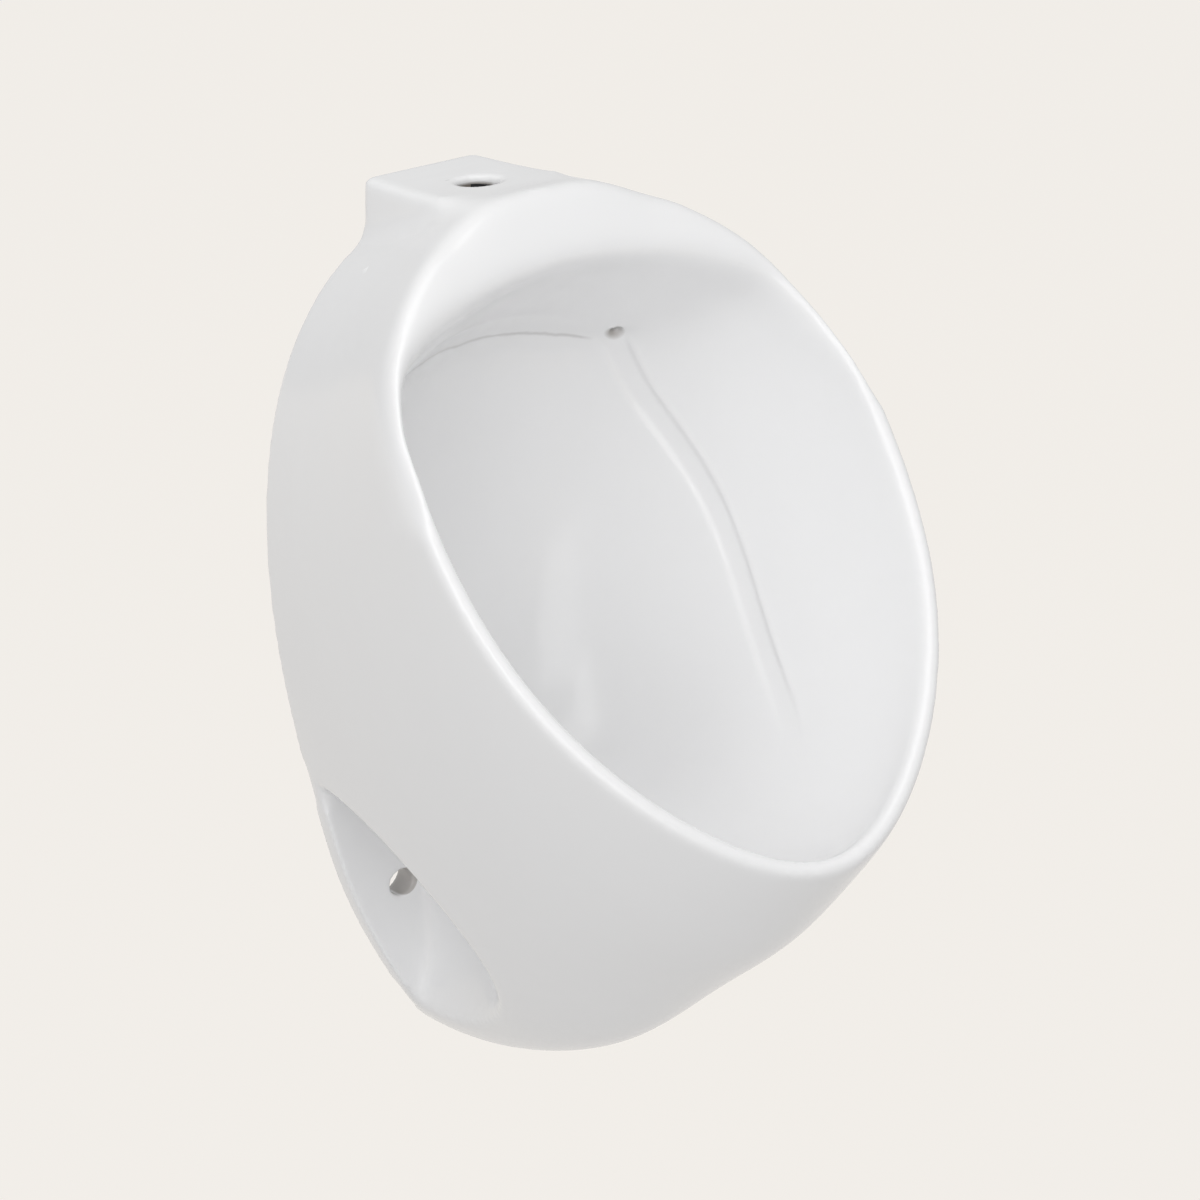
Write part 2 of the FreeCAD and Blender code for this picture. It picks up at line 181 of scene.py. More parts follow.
def side_signs(points: Array) -> Array:
    """Factors that fold points onto the +X side, and moves back from it."""
    return np.where(points[:, :1] < 0, np.array([-1.0, 1.0, 1.0]), 1.0)


@dataclass(frozen=True)
class Fade:
    """Stretch of a measure over which a weight changes smoothly."""

    low: float
    high: float

    def rise(self, x: Array) -> Array:
        """Weight that grows from 0 at low to 1 at high."""
        s = np.clip((x - self.low) / (self.high - self.low), 0.0, 1.0)
        return s * s * (3 - 2 * s)

    def fall(self, x: Array) -> Array:
        """Weight that drops from 1 at low to 0 at high."""
        return 1 - self.rise(x)


# ---------------------------------------------------------------- the china


@dataclass(frozen=True)
class RimPlane:
    """Tilted plane of the rim with the crescent drawn in it, in metres."""

    tilt: float = math.radians(37.85)
    top: Point = (0.0, -0.0897, 0.3753)
    roof_dip: float = math.radians(43.0)
    crescent_drop: float = 0.0385
    crescent_half_width: float = 0.140
    crescent_height: float = 0.084

    def split(self, points: Array) -> tuple[Array, Array, Array]:
        """Measure points against the plane.

        Args:
            points: Positions, one row each.

        Returns:
            Distance from the middle, drop down the plane, and height out of the bowl.
        """
        way = points - np.array(self.top)
        drop = -way[:, 1] * math.sin(self.tilt) - way[:, 2] * math.cos(self.tilt)
        out = -way[:, 1] * math.cos(self.tilt) + way[:, 2] * math.sin(self.tilt)
        return np.abs(points[:, 0]), drop, out

    def under_roof(self, points: Array) -> Array:
        """Distance below the bowl roof, measured down the rim plane.

        The roof runs back from the crescent, whose drop is
        c + h (1 - sqrt(1 - (x / w)^2)), and dips more steeply than the rim's
        normal, so a point's drop is first carried out to the plane along it.

        Args:
            points: Positions, one row each.

        Returns:
            The distances, negative inside the china above the roof.
        """
        x, drop, out = self.split(points)
        across = np.sqrt(np.clip(1 - (x / self.crescent_half_width) ** 2, 0.0, 1.0))
        edge = self.crescent_drop + self.crescent_height * (1 - across)
        return drop + out * math.tan(self.roof_dip - self.tilt) - edge


@dataclass(frozen=True)
class Channel:
    """Shallow channel that leads the water from a jet down each side of the bowl."""

    path: tuple[Point, ...] = (
        (0.0712, -0.0626, 0.2820),
        (0.0775, -0.0636, 0.2680),
        (0.0848, -0.0666, 0.2525),
        (0.0925, -0.0740, 0.2365),
        (0.0995, -0.0840, 0.2200),
        (0.1042, -0.0950, 0.2035),
        (0.1060, -0.1055, 0.1875),
        (0.1054, -0.1203, 0.1645),
        (0.1029, -0.1314, 0.1495),
        (0.0978, -0.1468, 0.1335),
        (0.0904, -0.1653, 0.1200),
        (0.0805, -0.1842, 0.1095),
        (0.0579, -0.2132, 0.0940),
    )
    half_width: float = 0.0070
    depth: float = 0.0012
    wall: Fade = Fade(0.68, 1.05)
    shoulder: float = 0.0006
    shoulder_at: float = 1.10
    shoulder_width: float = 0.22
    rimward: Point = (0.0, -0.790, 0.614)
    rim_side: Fade = Fade(0.1, 0.5)
    start: Fade = Fade(0.0, 0.06)
    end: Fade = Fade(0.72, 1.0)
    reach: float = 0.016
    sideways: float = 0.35

    def route(self, steps: int = 12) -> Array:
        """Smooth line through the points of the path.

        Each stretch is a Catmull-Rom cubic, half of
        2b + (c - a) u + (2a - 5b + 4c - d) u^2 + (3b - a - 3c + d) u^3.

        Args:
            steps: Points on each stretch.

        Returns:
            Points along the route.
        """
        p = np.array(self.path)
        p = np.concatenate([2 * p[:1] - p[1:2], p, 2 * p[-1:] - p[-2:-1]])
        u = np.linspace(0, 1, steps, endpoint=False)[None, :, None]
        a, b, c, d = (p[k : len(p) - 3 + k, None] for k in range(4))
        square = (2 * a - 5 * b + 4 * c - d) * u**2
        cube = (3 * b - a - 3 * c + d) * u**3
        line = 0.5 * (2 * b + (c - a) * u + square + cube)
        return np.concatenate([line.reshape(-1, 3), p[-2:-1]])

    def sunk(self, points: Array, normals: Array) -> Array:
        """Points pressed in along the channel, on both sides of the middle.

        The depth is even across the floor of the channel and runs out at its
        half width; on the side toward the rim a low shoulder stands. Both
        fade at the two ends. Widths are measured in half widths, and places
        along the channel in its length. Skin that faces sideways by more than
        a set share is the outer shell, and stays.

        Args:
            points: Positions, one row each.
            normals: Outward directions of the surface.

        Returns:
            The moved positions.
        """
        line = self.route()
        signs = side_signs(points)
        folded = points * signs
        facing = normals * signs
        low, high = line.min(0) - self.reach, line.max(0) + self.reach
        near = np.flatnonzero(((folded > low) & (folded < high)).all(1) & (facing[:, 0] < self.sideways))
        gap = np.linalg.norm(folded[near, None] - line[None], axis=2)
        best = gap.argmin(1)
        away = gap[np.arange(len(near)), best] / self.half_width
        along = best / (len(line) - 1)
        ends = self.start.rise(along) * self.end.fall(along)
        toward_rim = ((folded[near] - line[best]) * np.array(self.rimward)).sum(1) / self.half_width
        bead = self.shoulder * self.rim_side.rise(toward_rim)
        bead = bead * np.exp(-(((away - self.shoulder_at) / self.shoulder_width) ** 2))
        press = self.depth * self.wall.fall(away) - bead
        moved = points.copy()
        moved[near] -= normals[near] * (press * ends)[:, None]
        return moved


@dataclass(frozen=True)
class Swell:
    """Gentle push of the surface on both sides of the middle, in metres."""

    centre: Point
    radius: Point
    shift: Point

    def pushed(self, points: Array) -> Array:
        """Points moved by the shift times exp(-r^2 / 2), r measured in radii from the centre.

        Args:
            points: Positions, one row each.

        Returns:
            The moved positions, mirrored in the plane x = 0.
        """
        side = side_signs(points)
        r = (points * side - np.array(self.centre)) / np.array(self.radius)
        weight = np.exp(-0.5 * (r**2).sum(1))[:, None]
        return points + side * weight * np.array(self.shift)


@dataclass(frozen=True)
class Scoop:
    """Egg-shaped recess round each fixing hole, in metres."""

    centre: Point = (0.080, -0.012, -0.026)
    radius: Point = (0.070, 0.118, 0.090)
    tilt: float = math.radians(15)
    skin: Fade = Fade(0.09, 0.17)
    hole_x: float = 0.026
    hole_r: float = 0.007
    hole_margin: float = 0.003
    hole_fade: float = 0.006

    def edge(self, points: Array) -> Array:
        """How near points lie to the skin of the recess, and away from the hole.

        Args:
            points: Positions, one row each.

        Returns:
            Weights from 0 to 1.
        """
        folded = points * side_signs(points)
        way = folded - np.array(self.centre)
        c, s = math.cos(self.tilt), math.sin(self.tilt)
        turned = np.stack([way[:, 0], way[:, 1] * c - way[:, 2] * s, way[:, 1] * s + way[:, 2] * c], -1)
        level = np.linalg.norm(turned / np.array(self.radius), axis=1)
        hole = np.hypot(folded[:, 0] - self.hole_x, points[:, 2])
        margin = Fade(self.hole_r + self.hole_margin, self.hole_r + self.hole_margin + self.hole_fade)
        return self.skin.fall(np.abs(level - 1)) * margin.rise(hole)


@dataclass(frozen=True)
class Arch:
    """Rise of the bowl roof's back between the two jets, with a ledge under it, in metres."""

    height: float = 0.0130
    half_width: float = 0.078
    power: float = 2.6
    roof_depth: float = 0.078
    upward: Fade = Fade(0.240, 0.275)
    above_roof: Fade = Fade(0.012, 0.040)
    off_wall: Fade = Fade(0.028, 0.037)
    ledge: float = 0.0014
    ledge_drop: float = 0.0050
    ledge_wander: float = 0.0007
    ledge_waves: float = 190.0
    ledge_width: float = 0.0026
    ledge_sides: Fade = Fade(0.056, 0.068)
    ledge_off_wall: Fade = Fade(0.030, 0.037)
    ledge_inward: Fade = Fade(0.050, 0.062)

    def raised(self, points: Array, plane: RimPlane) -> Array:
        """Raise the back of the bowl roof into an arch, and set the bowl in under it.

        The lift is height (1 - (x / w)^power)^2 at the back of the roof and
        falls evenly to nothing at the crescent, so the roof stays straight
        front to back; it fades out above the roof, down the back of the bowl
        and before the wall. The back of the bowl is set in under the roof by
        ledge exp(-((u - c) / v)^2), u being the distance below the roof, v
        the ledge's width and c wandering a little from side to side.

        Args:
            points: Positions, one row each.
            plane: Plane of the rim, from which the roof is measured.

        Returns:
            The moved positions.
        """
        x, _, out = plane.split(points)
        under = plane.under_roof(points)
        across = np.clip(1 - (x / self.half_width) ** self.power, 0, 1) ** 2
        lift = self.height * across * np.clip(-out / self.roof_depth, 0, 1)
        lift = lift * self.upward.rise(points[:, 2]) * self.above_roof.fall(-under)
        lift = lift * self.off_wall.rise(-points[:, 1])
        place = self.ledge_drop + self.ledge_wander * np.sin(points[:, 0] * self.ledge_waves)
        cut = self.ledge * np.exp(-(((under - place) / self.ledge_width) ** 2)) * self.ledge_sides.fall(x)
        cut = cut * self.ledge_off_wall.rise(-points[:, 1]) * self.ledge_inward.rise(-out)
        return points + np.stack([np.zeros_like(cut), cut, lift], -1)


@dataclass(frozen=True)
class Softening:
    """Where the glaze rounds the casting, in metres, and for how many smoothing rounds."""

    share: float = 0.6
    forward: float = 0.0032
    forward_inward: Fade = Fade(0.0, 0.15)
    skin_share: float = 0.5
    skin_rounds: int = 3
    jet: Point = (0.070, -0.0655, 0.2840)
    off_jet: Fade = Fade(0.005, 0.012)
    off_wall: Fade = Fade(0.036, 0.046)
    edge: Fade = Fade(0.012, 0.026)
    edge_inward: Fade = Fade(-0.004, 0.002)
    edge_rounds: int = 110
    corner: Fade = Fade(0.012, 0.026)
    corner_inward: Fade = Fade(0.020, 0.040)
    corner_side: Fade = Fade(0.068, 0.082)
    corner_rounds: int = 160
    roof: Fade = Fade(0.008, 0.016)
    roof_inward: Fade = Fade(0.062, 0.074)
    roof_rounds: int = 70
    crown_up: Fade = Fade(0.342, 0.354)
    crown_forward: Fade = Fade(0.060, 0.076)
    crown_side: Fade = Fade(0.060, 0.078)
    crown_rounds: int = 70
    brow: Fade = Fade(0.008, 0.024)
    brow_inner: Fade = Fade(0.045, 0.060)
    brow_outer: Fade = Fade(0.105, 0.120)
    brow_below: Fade = Fade(-0.030, -0.016)
    brow_rounds: int = 30
    lip: Fade = Fade(0.006, 0.012)
    lip_below: Fade = Fade(-0.060, -0.050)
    lip_rounds: int = 8
    scoop_rounds: int = 24

    def rounded(self, points: Array, edges: Array, plane: RimPlane, scoop: Scoop) -> Array:
        """Bring the rim forward, then round the casting region by region.

        The regions are, in turn, the whole skin, the crescent's edge, the
        corners at the roof's ends, the back of the roof, the foot of the
        inlet block, the brow beside it, the lip of the rim, and the edges of
        the scoops. The jets and the skin next to the wall are left sharp.

        Args:
            points: Positions, one row each.
            edges: Pairs of point numbers.
            plane: Plane of the rim.
            scoop: Recess round each fixing hole.

        Returns:
            The moved positions.
        """
        x, _, out = plane.split(points)
        points = points - np.array([0.0, self.forward, 0.0]) * self.forward_inward.fall(-out)[:, None]
        points = smoothed(points, edges, np.full(len(points), self.skin_share), self.skin_rounds)
        under = plane.under_roof(points)
        jet = np.linalg.norm(np.abs(points) - np.abs(np.array(self.jet)), axis=1)
        bowl = self.off_jet.rise(jet) * self.off_wall.rise(-points[:, 1])
        edge = self.edge.fall(np.hypot(under, out))
        points = smoothed(points, edges, self.share * edge * self.edge_inward.rise(-out), self.edge_rounds)
        corner = self.corner.fall(np.abs(under)) * self.corner_inward.rise(-out) * self.corner_side.rise(x)
        points = smoothed(points, edges, self.share * corner * bowl, self.corner_rounds)
        roof = self.roof.fall(np.abs(under)) * self.roof_inward.fall(-out)
        points = smoothed(points, edges, self.share * roof * bowl, self.roof_rounds)
        crown = self.crown_up.rise(points[:, 2]) * self.crown_forward.rise(-points[:, 1])
        crown = crown * self.crown_side.fall(x)
        points = smoothed(points, edges, self.share * crown, self.crown_rounds)
        brow = self.brow.fall(np.abs(out)) * self.brow_inner.rise(x) * self.brow_outer.fall(x)
        points = smoothed(points, edges, self.share * brow * self.brow_below.fall(under), self.brow_rounds)
        lip = self.lip.fall(np.abs(out)) * self.lip_below.rise(under)
        points = smoothed(points, edges, self.share * lip, self.lip_rounds)
        return smoothed(points, edges, self.share * scoop.edge(points), self.scoop_rounds)


@dataclass(frozen=True)
class Casting:
    """The china, softened as a glaze softens a casting, with its water channels."""

    plane: RimPlane = RimPlane()
    arch: Arch = Arch()
    channel: Channel = Channel()
    scoop: Scoop = Scoop()
    softening: Softening = Softening()
    swells: tuple[Swell, ...] = (
        Swell((0.0, -0.094, 0.374), (0.056, 0.030, 0.030), (0.0, -0.001, 0.0029)),  # crest
        Swell((0.105, -0.130, 0.315), (0.040, 0.045, 0.045), (0.0027, 0.0, 0.0022)),  # upper side of the rim
        Swell((0.128, -0.158, 0.284), (0.035, 0.035, 0.035), (0.0026, 0.0, 0.0026)),  # widest part of the rim
        Swell((0.090, 0.0, 0.210), (0.050, 0.060, 0.110), (0.0020, 0.0, 0.0)),  # side
        Swell((0.040, -0.010, 0.362), (0.020, 0.050, 0.030), (0.0026, 0.0, 0.0)),  # side of the inlet block
        Swell((0.034, -0.078, 0.373), (0.012, 0.018, 0.030), (0.0, 0.0, 0.0014)),  # crown beside the block
        Swell((0.0, -0.222, -0.004), (0.060, 0.042, 0.042), (0.0, 0.0042, 0.0050)),  # belly
        Swell((0.0, -0.288, 0.066), (0.050, 0.022, 0.022), (0.0, 0.0012, 0.0012)),  # lower belly
        Swell((0.070, 0.0, -0.005), (0.050, 0.060, 0.036), (0.0034, 0.0, 0.0)),  # lower edge at the wall
        Swell((0.0, -0.010, -0.090), (0.050, 0.060, 0.030), (0.0, 0.0, -0.0025)),  # bottom
        Swell((0.078, -0.128, 0.024), (0.040, 0.028, 0.038), (0.0, 0.0075, 0.0)),  # front edge of the scoop
    )
    seam: float = 1e-6
    voxel: float = 0.0016
    settle_share: float = 0.4
    settle_rounds: int = 2
    triangles: int = 190000
    sliver: float = 2e-4

    def build(self) -> bpy.types.Object:
        """Make the piece that stands for the casting.

        Returns:
            The new object, linked to the scene.
        """
        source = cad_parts["ceramic_body"]
        obj = bpy.data.objects.new("china", source.data.copy())
        bpy.context.collection.objects.link(obj)
        weld(obj, self.seam)
        remesh = obj.modifiers.new("voxels", "REMESH")
        remesh.mode = "VOXEL"
        remesh.voxel_size = self.voxel
        apply_modifiers(obj)
        edges = mesh_edges(obj.data)
        points = self.arch.raised(mesh_points(obj.data), self.plane)
        for swell in self.swells:
            points = swell.pushed(points)
        points = self.softening.rounded(points, edges, self.plane, self.scoop)
        set_points(obj.data, points)
        points = self.channel.sunk(points, mesh_normals(obj.data))
        points = smoothed(points, edges, np.full(len(points), self.settle_share), self.settle_rounds)
        set_points(obj.data, points)
        thin_out(obj, self.triangles)
        weld(obj, self.sliver)
        unfold(obj)
        obj.data.shade_smooth()
        return obj


# ---------------------------------------------------------------- finishes


class Sock:
    """A node's output socket that can be used in sums and products."""

    def __init__(self, tree: bpy.types.NodeTree, socket: bpy.types.NodeSocket) -> None:
        """Keep the tree and the socket."""
        self.tree = tree
        self.socket = socket

    def _math(self, operation: str, a: Any, b: Any) -> "Sock":
        """Add a Math node.

        Args:
            operation: Name of the operation.
            a: First value, a number or a socket.
            b: Second value, a number or a socket.

        Returns:
            The node's result.
        """
        node = self.tree.nodes.new("ShaderNodeMath")
        node.operation = operation
        for place, value in enumerate((a, b)):
            if isinstance(value, Sock):
                self.tree.links.new(value.socket, node.inputs[place])
            else:
                node.inputs[place].default_value = value
        return Sock(self.tree, node.outputs[0])

    def __add__(self, other: Any) -> "Sock":
        """Sum."""
        return self._math("ADD", self, other)

    def __mul__(self, other: Any) -> "Sock":
        """Product."""
        return self._math("MULTIPLY", self, other)

    def __sub__(self, other: Any) -> "Sock":
        """Difference."""
        return self._math("SUBTRACT", self, other)

    def __rsub__(self, other: Any) -> "Sock":
        """Difference from a number."""
        return self._math("SUBTRACT", other, self)

    def size(self) -> "Sock":
        """Value without its sign."""
        return self._math("ABSOLUTE", self, 0.0)

    def below(self, limit: float, soft: float) -> "Sock":
        """One below a limit, falling to zero over a short stretch above it."""
        node = self.tree.nodes.new("ShaderNodeMapRange")
        for place, value in enumerate((limit, limit + soft, 1.0, 0.0), start=1):
            node.inputs[place].default_value = value
        self.tree.links.new(self.socket, node.inputs[0])
        return Sock(self.tree, node.outputs[0])

    def root(self) -> "Sock":
        """Square root."""
        return self._math("SQRT", self, 0.0)

    __rmul__ = __mul__


class Graph:
    """Node material that is built by short calls."""

    def __init__(self, name: str) -> None:
        """Start an empty material with its output.

        Args:
            name: Name of the material.
        """
        self.material = bpy.data.materials.new(name)
        self.material.use_nodes = True
        self.tree = self.material.node_tree
        self.tree.nodes.clear()
        self.output = self.tree.nodes.new("ShaderNodeOutputMaterial")

    def node(self, kind: str, settings: Optional[dict] = None, **sockets: Any) -> bpy.types.Node:
        """Add a node.

        Args:
            kind: Type of the node.
            settings: Properties set before its sockets.
            sockets: Input name, with _ for a space, or _ and its number, and its value or link.

        Returns:
            The node.
        """
        node = self.tree.nodes.new(kind)
        for key, value in (settings or {}).items():
            setattr(node, key, value)
        for key, value in sockets.items():
            socket = node.inputs[int(key[1:])] if key[0] == "_" else node.inputs[key.replace("_", " ")]
            if isinstance(value, Sock):
                self.tree.links.new(value.socket, socket)
            else:
                socket.default_value = value
        return node

    def out(self, node: bpy.types.Node, name: str = "") -> Sock:
        """Output of a node by name, or its first one."""
        return Sock(self.tree, node.outputs[name] if name else node.outputs[0])

    def place(self) -> Sock:
        """Position on the object in its own coordinates."""
        return self.out(self.node("ShaderNodeTexCoord"), "Object")

    def axes(self) -> tuple[Sock, Sock, Sock]:
        """The three coordinates of the place."""
        node = self.node("ShaderNodeSeparateXYZ", None, Vector=self.place())
        return tuple(Sock(self.tree, socket) for socket in node.outputs)

    def noise(self, scale: float, detail: float = 3.0, rough: float = 0.5) -> Sock:
        """Soft noise between 0 and 1 over the object."""
        settings = {"Scale": scale, "Detail": detail, "Roughness": rough}
        return self.out(self.node("ShaderNodeTexNoise", None, Vector=self.place(), **settings), "Fac")

    def mix(self, factor: Any, a: Any, b: Any) -> Sock:
        """Colour between two colours."""
        node = self.node("ShaderNodeMix", {"data_type": "RGBA"}, _0=factor, _6=a, _7=b)
        return Sock(self.tree, node.outputs[2])

    def bump(self, height: Sock, strength: float, distance: float) -> Sock:
        """Normal that follows a height."""
        sockets = {"Height": height, "Strength": strength, "Distance": distance}
        return self.out(self.node("ShaderNodeBump", None, **sockets))

    def finish(self, shader: Sock) -> bpy.types.Material:
        """Join the shader to the output and give the material."""
        self.tree.links.new(shader.socket, self.output.inputs["Surface"])
        return self.material


def rgb(r: float, g: float, b: float) -> Colour:
    """Colour with full alpha."""
    return (r, g, b, 1.0)


def shaded(colour: Colour, share: float) -> Colour:
    """Colour with its three parts scaled."""
    return rgb(*(share * part for part in colour[:3]))


@dataclass(frozen=True)
class Glaze:
    """White glaze over vitreous china."""

    name: str = "glazed_china"
    colour: Colour = rgb(0.895, 0.895, 0.897)
    thin: Colour = rgb(0.88, 0.88, 0.885)
    # painted shade inside the holes, over the brownish colour of unglazed china
    unglazed_and_shade: Colour = rgb(0.27, 0.24, 0.21)
    # painted shade along the crease of the ledge under the roof
    ledge_shade: Colour = rgb(0.50, 0.49, 0.48)
    roughness: float = 0.22
    uneven: float = 0.06
    ior: float = 1.5
    coat: float = 0.35
    coat_roughness: float = 0.12
    wave_share: float = 0.8
    skin_share: float = 0.02
    relief: float = 0.12
    relief_depth: float = 0.0012
    fixing_x: float = 0.026
    fixing_r: float = 0.0072
    fixing_depth: float = 0.0150
    fixing_share: float = 0.65
    inlet_y: float = -0.043
    inlet_r: float = 0.0102
    inlet_z: float = 0.3668
    inlet_depth: float = 0.026
    jet: Point = (0.070, -0.0655, 0.2845)
    jet_r: float = 0.0024
    jet_share: float = 0.8
    ledge_z: float = 0.2903
    ledge_bend: float = 2.4
    ledge_wander: float = 0.0045
    ledge_half_width: float = 0.0575
    ledge_off_wall: float = 0.030
    ledge_depth: float = 0.0590
    ledge_shade_share: float = 0.5

    def material(self) -> bpy.types.Material:
        """Glaze with faint clouding and the long soft waves of a fired coat.

        Where the holes are drilled it is thin, and the unglazed china there is darkened with painted shade; a
        fine line of painted shade runs along the ledge under the roof.

        Returns:
            The new material.
        """
        g = Graph(self.name)
        cloud = g.noise(9.0, 2.0)
        waves = g.noise(26.0, 1.0)
        skin = g.noise(900.0, 2.0)
        normal = g.bump(waves * self.wave_share + skin * self.skin_share, self.relief, self.relief_depth)
        x, y, z = g.axes()
        glazed = g.mix(cloud, self.colour, self.thin)
        # painted shade: a fine dark line along the ledge under the roof
        glazed = g.mix(self._ledge_shade_line(g, x, y, z) * self.ledge_shade_share, glazed, self.ledge_shade)
        shader = g.node(
            "ShaderNodeBsdfPrincipled",
            None,
            # painted shade: the walls of the holes are darkened toward an unglazed china colour
            Base_Color=g.mix(self._unglazed_and_shaded_holes(x, y, z), glazed, self.unglazed_and_shade),
            Roughness=cloud * self.uneven + (self.roughness - self.uneven / 2),
            IOR=self.ior,
            Coat_Weight=self.coat,
            Coat_Roughness=self.coat_roughness,
            Normal=normal,
        )
        return g.finish(g.out(shader))

    def _unglazed_and_shaded_holes(self, x: Sock, y: Sock, z: Sock) -> Sock:
        """Mask of the walls of the fixing holes, the inlet and the jets: unglazed china darkened by painted
        shade.

        Args:
            x: Place from side to side.
            y: Place toward the wall.
            z: Place upward.

        Returns:
            The mask, from 0 on the glaze to 1 on unglazed china in painted shade.
        """
        across = x.size() - self.fixing_x
        inside = (across * across + z * z).root().below(self.fixing_r, 0.0006)
        drilled = inside * (-1.0 * y).below(self.fixing_depth, 0.0010)
        down = y - self.inlet_y
        bored = (x * x + down * down).root().below(self.inlet_r, 0.0008)
        bored = bored * (z - self.inlet_z).below(0.0, 0.0016)
        bored = bored * (self.inlet_z - z).below(self.inlet_depth, 0.005)
        way = (x.size() - self.jet[0], y - self.jet[1], z - self.jet[2])
        spout = (way[0] * way[0] + way[1] * way[1] + way[2] * way[2]).root().below(self.jet_r, 0.0032)
        return drilled * self.fixing_share + bored + spout * self.jet_share

    def _ledge_shade_line(self, g: Graph, x: Sock, y: Sock, z: Sock) -> Sock:
        """Mask of a fine line of painted shade along the ledge, z + bend x^2 = height, with a little wander.

        Args:
            g: Graph that the mask belongs to.
            x: Place from side to side.
            y: Place toward the wall.
            z: Place upward.

        Returns:
            The mask, from 0 off the line to 1 on it.
        """
        wander = g.noise(70.0, 2.0) * self.ledge_wander
        height = z + x * x * self.ledge_bend + wander - (self.ledge_z + self.ledge_wander / 2)
        line = height.size().below(0.0002, 0.0013) * x.size().below(self.ledge_half_width, 0.006)
        line = line * y.below(-self.ledge_off_wall, 0.003)
        return line * (-1.0 * y).below(self.ledge_depth, 0.004)


@dataclass(frozen=True)
class Plated:
    """Bright plated or zinc-coated metal."""

    name: str
    colour: Colour
    roughness: float
    spangle: float = 0.0
    shade: float = 0.8
    uneven: float = 0.12

    def material(self) -> bpy.types.Material:
        """Metal with fine wipe marks, and spangle on zinc."""
        g = Graph(self.name)
        marks = g.noise(60.0, 6.0, 0.6)
        cells = g.node("ShaderNodeTexVoronoi", None, Vector=g.place(), Scale=260.0)
        spangle = g.out(cells, "Distance")
        dark = shaded(self.colour, self.shade)
        shader = g.node(
            "ShaderNodeBsdfPrincipled",
            None,
            Base_Color=g.mix(spangle * self.spangle, self.colour, dark),
            Metallic=1.0,
            Roughness=marks * self.uneven + self.roughness,
            Normal=g.bump(marks + spangle * self.spangle, 0.05, 0.0004),
        )
        return g.finish(g.out(shader))


@dataclass(frozen=True)
class Moulded:
    """Moulded plastic or rubber."""

    name: str
    colour: Colour
    roughness: float
    grain: float = 900.0
    shade: float = 0.88
    uneven: float = 0.15

    def material(self) -> bpy.types.Material:
        """Plain moulding with a fine skin grain and a little uneven colour."""
        g = Graph(self.name)
        skin = g.noise(self.grain, 3.0)
        cloud = g.noise(30.0, 2.0)
        dark = shaded(self.colour, self.shade)
        shader = g.node(
            "ShaderNodeBsdfPrincipled",
            None,
            Base_Color=g.mix(cloud, self.colour, dark),
            Roughness=skin * self.uneven + self.roughness,
            Normal=g.bump(skin, 0.15, 0.0003),
        )
        return g.finish(g.out(shader))


class Finish(Enum):
    """Finishes of the whole product."""

    CHINA = Glaze()
    CHROME = Plated("chrome_plate", rgb(0.78, 0.79, 0.80), 0.06)
    ZINC = Plated("zinc_steel", rgb(0.62, 0.64, 0.66), 0.28, 0.8)
    PLASTIC = Moulded("white_plastic", rgb(0.74, 0.74, 0.72), 0.25)
    BLACK_RUBBER = Moulded("black_rubber", rgb(0.022, 0.022, 0.024), 0.62)
    GREY_RUBBER = Moulded("grey_rubber", rgb(0.14, 0.14, 0.145), 0.6)


# ---------------------------------------------------------------- studio


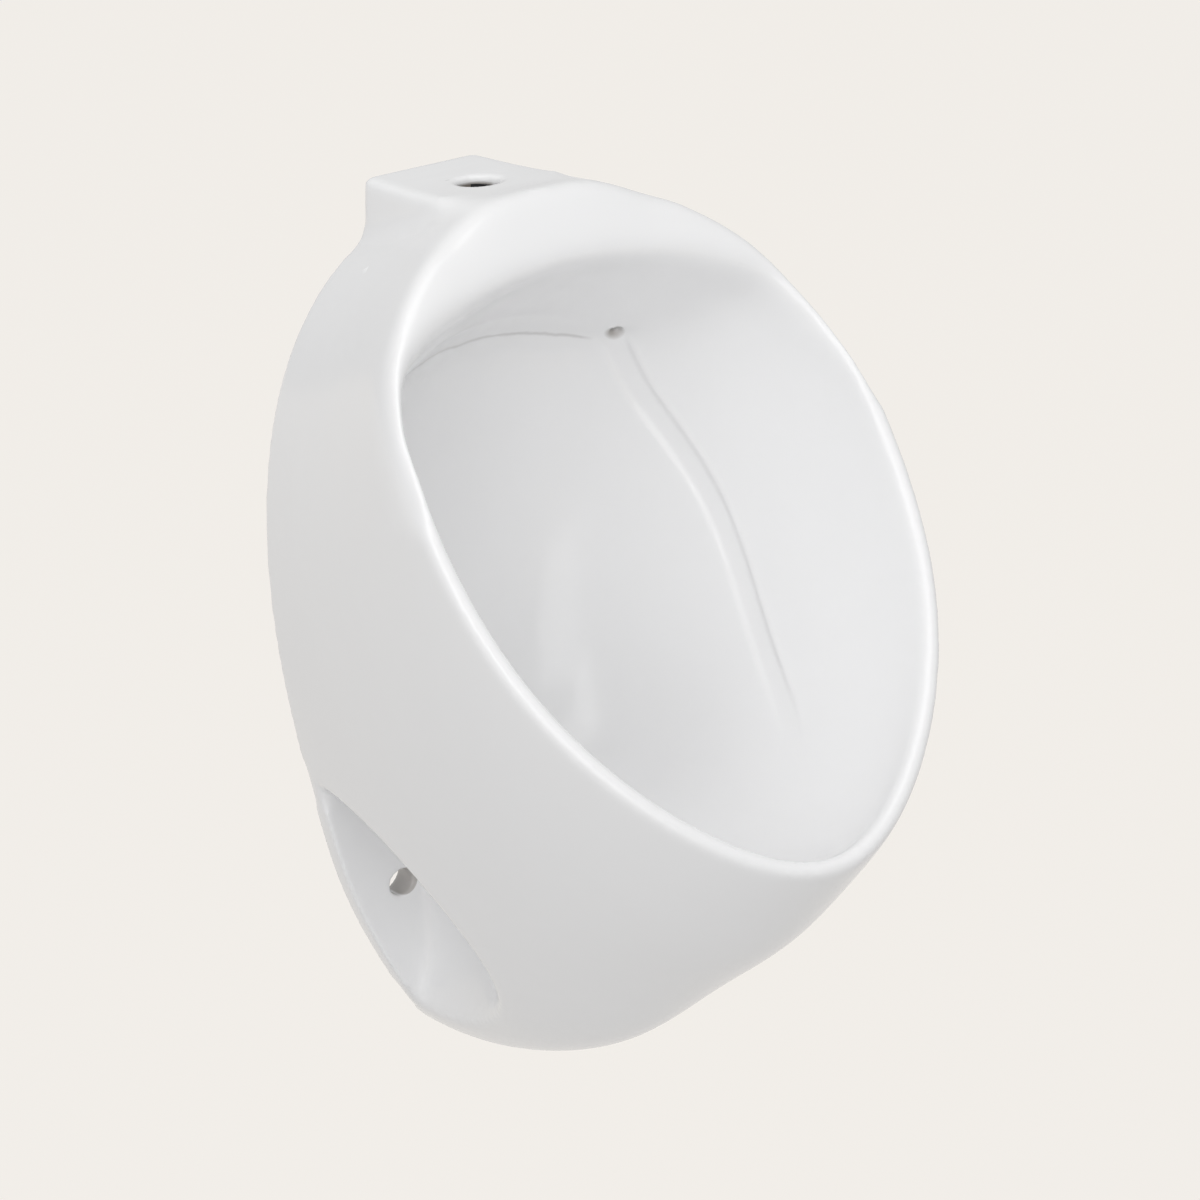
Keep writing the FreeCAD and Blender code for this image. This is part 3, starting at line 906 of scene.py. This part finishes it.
@dataclass(frozen=True)
class Studio:
    """Pale floor, soft light and the camera."""

    azimuth: float = math.radians(-40.737)
    elevation: float = math.radians(20.624)
    distance: float = 2.3627
    target: Point = (0.0, -0.13569, 0.18134)
    lens: float = 147.0
    sensor: float = 36.0
    far: float = 60.0
    floor_z: float = -0.55
    floor_size: float = 9.0
    paper: Colour = rgb(0.887, 0.855, 0.812)
    paper_share: float = 0.9
    glow: float = 1.06
    matte: Colour = rgb(0.49, 0.49, 0.495)
    world: float = 0.63
    lamps: tuple[tuple[str, Point, float, float], ...] = (
        ("key", (-2.5, -1.4, 1.8), 2.4, 24.0),
        ("fill", (-1.6, -2.6, 0.3), 2.4, 18.0),
        ("top", (-0.3, -0.8, 2.8), 2.4, 17.0),
    )

    def camera(self) -> None:
        """Aim the camera as the photograph was taken."""
        a, e = self.azimuth, self.elevation
        back = Vector((math.sin(a) * math.cos(e), -math.cos(a) * math.cos(e), math.sin(e)))
        right = Vector((math.cos(a), math.sin(a), 0.0))
        up = back.cross(right)
        data = bpy.data.cameras.new("camera")
        data.lens = self.lens
        data.sensor_width = self.sensor
        data.clip_end = self.far
        obj = bpy.data.objects.new("camera", data)
        spot = Vector(self.target) + back * self.distance
        obj.matrix_world = Matrix.Translation(spot) @ Matrix((right, up, back)).transposed().to_4x4()
        bpy.context.collection.objects.link(obj)
        bpy.context.scene.camera = obj

    def floor(self) -> None:
        """Lay a wide pale floor that shows the plain paper colour and keeps the shadow."""
        r = self.floor_size
        corners = [(x, y, self.floor_z) for x, y in ((-r, -r), (r, -r), (r, r), (-r, r))]
        obj = flat_object("floor", corners, [(0, 1, 2, 3)])
        g = Graph("paper_floor")
        seen = g.node("ShaderNodeLightPath")
        direct = g.out(seen, "Is Camera Ray") + g.out(seen, "Is Glossy Ray")
        direct = direct + g.out(seen, "Is Transmission Ray")
        matte = g.node("ShaderNodeBsdfDiffuse", None, Color=self.matte)
        glow = g.node("ShaderNodeEmission", None, Color=self.paper, Strength=self.glow)
        share = direct * self.paper_share
        blend = g.node("ShaderNodeMixShader", None, _0=share, _1=g.out(matte), _2=g.out(glow))
        obj.data.materials.append(g.finish(g.out(blend)))

    def light(self) -> None:
        """Surround the object with soft light and three large lamps."""
        world = bpy.data.worlds.new("studio")
        world.use_nodes = True
        tree = world.node_tree
        tree.nodes.clear()
        out = tree.nodes.new("ShaderNodeOutputWorld")
        path = tree.nodes.new("ShaderNodeLightPath")
        soft = tree.nodes.new("ShaderNodeBackground")
        soft.inputs["Color"].default_value = (1.0, 1.0, 1.0, 1.0)
        soft.inputs["Strength"].default_value = self.world
        paper = tree.nodes.new("ShaderNodeBackground")
        paper.inputs["Color"].default_value = self.paper
        paper.inputs["Strength"].default_value = 1.0
        blend = tree.nodes.new("ShaderNodeMixShader")
        tree.links.new(path.outputs["Is Camera Ray"], blend.inputs[0])
        tree.links.new(soft.outputs[0], blend.inputs[1])
        tree.links.new(paper.outputs[0], blend.inputs[2])
        tree.links.new(blend.outputs[0], out.inputs["Surface"])
        bpy.context.scene.world = world
        for name, spot, size, power in self.lamps:
            data = bpy.data.lights.new(name, "AREA")
            data.size = size
            data.energy = power
            obj = bpy.data.objects.new(name, data)
            way = Vector(self.target) - Vector(spot)
            obj.matrix_world = Matrix.Translation(spot) @ way.to_track_quat("-Z", "Y").to_matrix().to_4x4()
            bpy.context.collection.objects.link(obj)


NODE_FINISH: dict[str, Finish] = {
    "ceramic_body": Finish.CHINA,
    "inlet_grommet": Finish.BLACK_RUBBER,
    "waste_strainer": Finish.CHROME,
    "waste_body": Finish.CHROME,
    "waste_top_seal": Finish.GREY_RUBBER,
    "waste_bottom_seal": Finish.GREY_RUBBER,
    "trap_body": Finish.PLASTIC,
    "trap_dip_tube": Finish.PLASTIC,
    "trap_cup": Finish.PLASTIC,
    "trap_cup_seal": Finish.BLACK_RUBBER,
    "trap_outlet_nut": Finish.PLASTIC,
    "trap_outlet_seal": Finish.BLACK_RUBBER,
    "outlet_pipe": Finish.PLASTIC,
    "outlet_wall_seal": Finish.GREY_RUBBER,
    "hanger_left": Finish.ZINC,
    "hanger_right": Finish.ZINC,
    "hanger_pads": Finish.GREY_RUBBER,
}


class Product:
    """The whole urinal: the finished pieces of the frame, and the softened china."""

    def __init__(self) -> None:
        """Make every finish once."""
        self.materials = {finish: finish.value.material() for finish in Finish}

    def dress_nodes(self) -> None:
        """Give every piece that comes from the frame its finish."""
        for name, finish in NODE_FINISH.items():
            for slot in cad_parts[name].material_slots:
                slot.material = self.materials[finish]
            log.info("%s dressed as %s", name, finish.name.lower())

    def set_china(self) -> None:
        """Let the softened casting stand for the frame's own."""
        china = Casting().build()
        china.data.materials.clear()
        china.data.materials.append(self.materials[Finish.CHINA])
        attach(china, "fixed")
        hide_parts("ceramic_body")
        log.info("china softened: %d corners", len(china.data.vertices))


def main() -> None:
    """Build the studio and dress the product."""
    logging.basicConfig(level=logging.INFO, format="%(message)s")
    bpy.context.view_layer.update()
    bpy.context.scene.view_settings.view_transform = "Standard"
    studio = Studio()
    studio.camera()
    studio.floor()
    studio.light()
    product = Product()
    product.dress_nodes()
    product.set_china()


if __name__ == "__main__":
    main()
